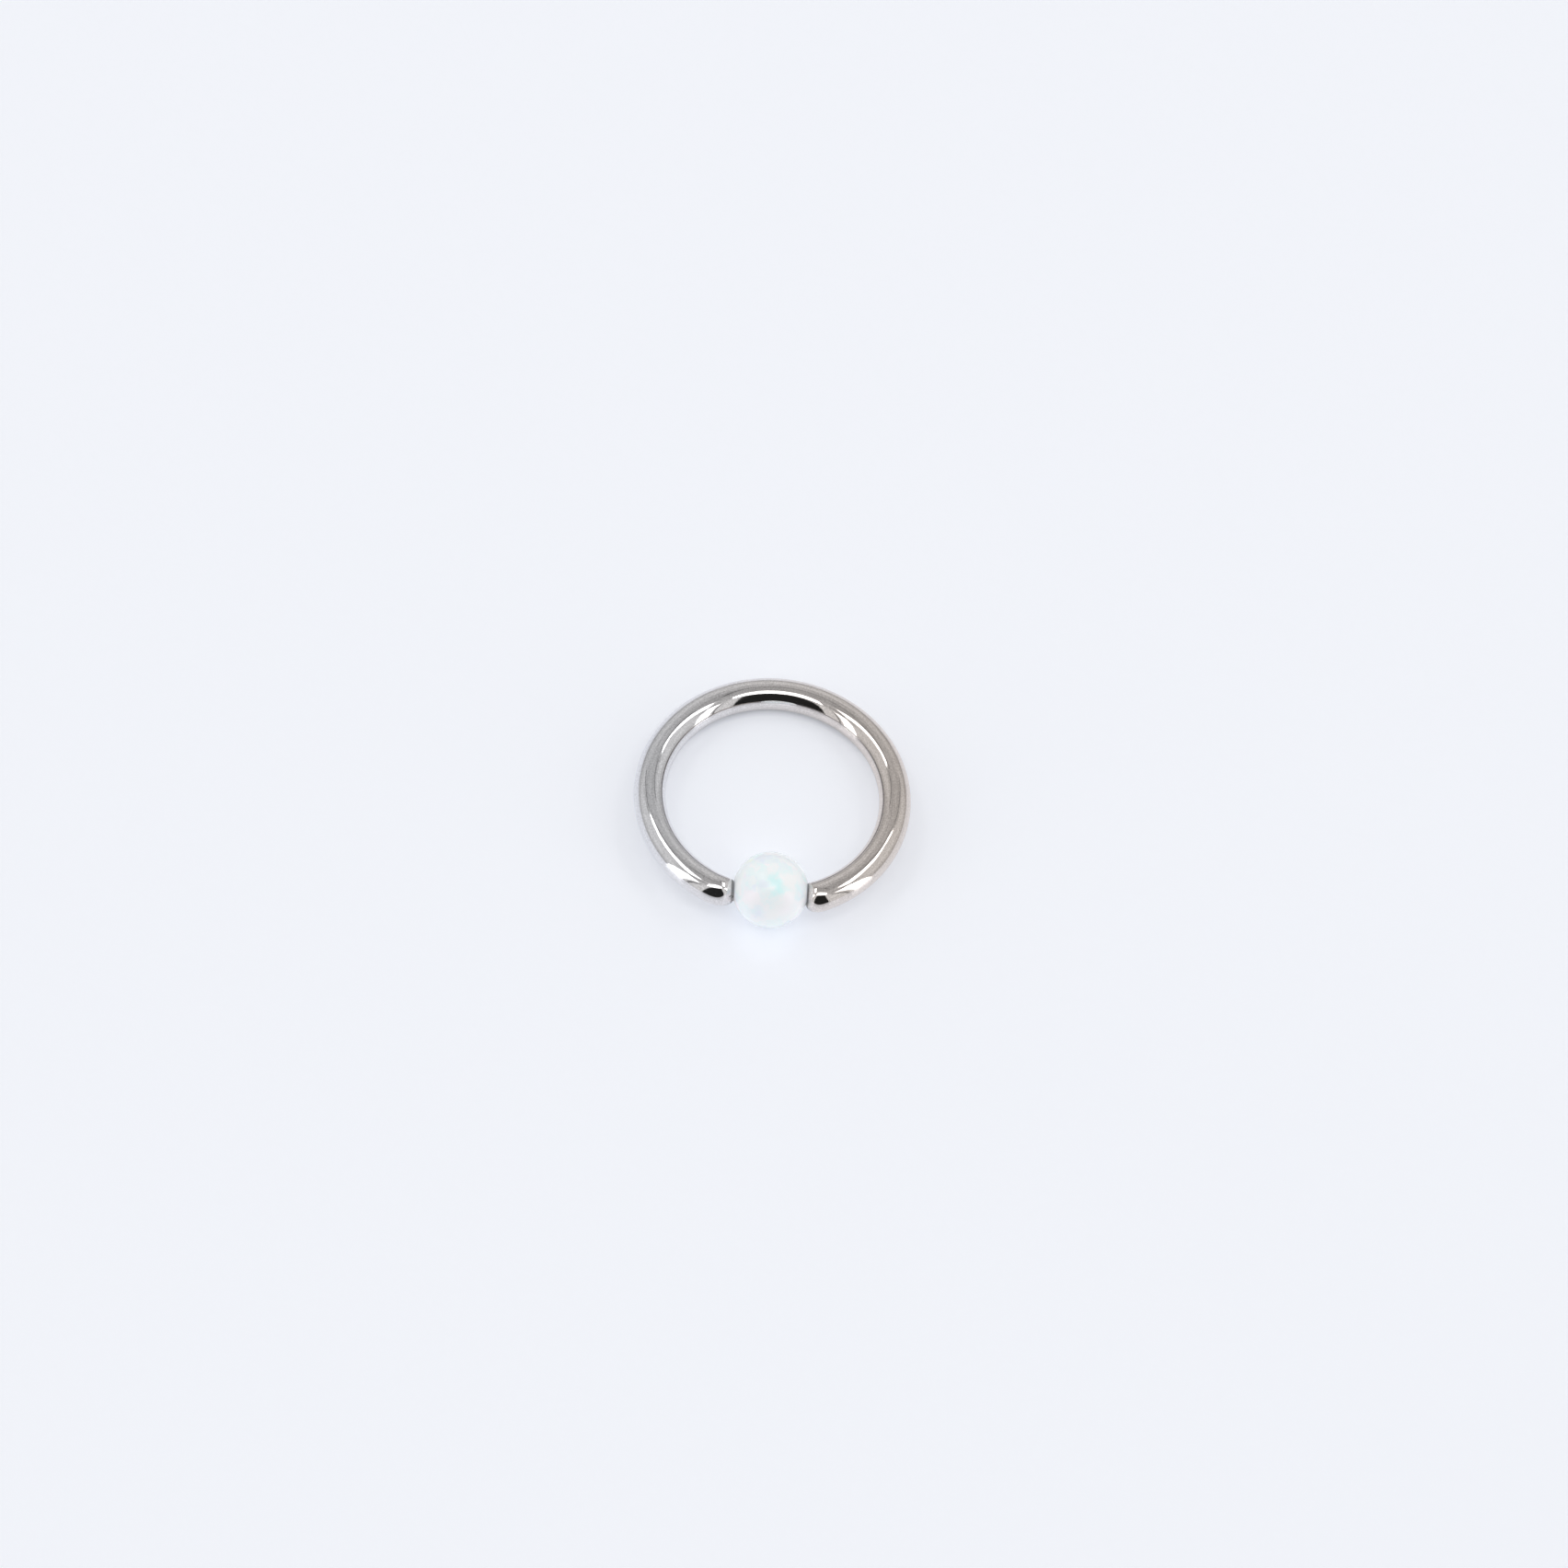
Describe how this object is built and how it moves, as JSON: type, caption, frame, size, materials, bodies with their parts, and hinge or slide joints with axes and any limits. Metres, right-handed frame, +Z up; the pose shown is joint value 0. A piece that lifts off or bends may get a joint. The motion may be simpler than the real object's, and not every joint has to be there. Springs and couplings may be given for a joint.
{
  "type": "captive bead ring",
  "caption": "Body jewellery ring of round polished wire, its open circle closed by a dimpled opal bead that turns between the wire's ends.",
  "frame": {"origin": "on the surface that the ring lies on, under the middle of its outline", "axes": "+Z up from that surface, -Y from the ring's middle to the bead, +X along the bead's spin axis"},
  "size_m": [0.0104, 0.0106, 0.0029],
  "materials": {
    "polished_metal": "polished",
    "opal": "gloss"
  },
  "bodies": {
    "ring": {"ring": "polished_metal"},
    "bead": {"bead": "opal"}
  },
  "joints": [
    {"name": "bead_spin", "type": "hinge", "parent": "ring", "child": "bead", "pos_m": [0, -0.00389, 0.00143], "axis": [1, 0, 0], "continuous": true}
  ]
}
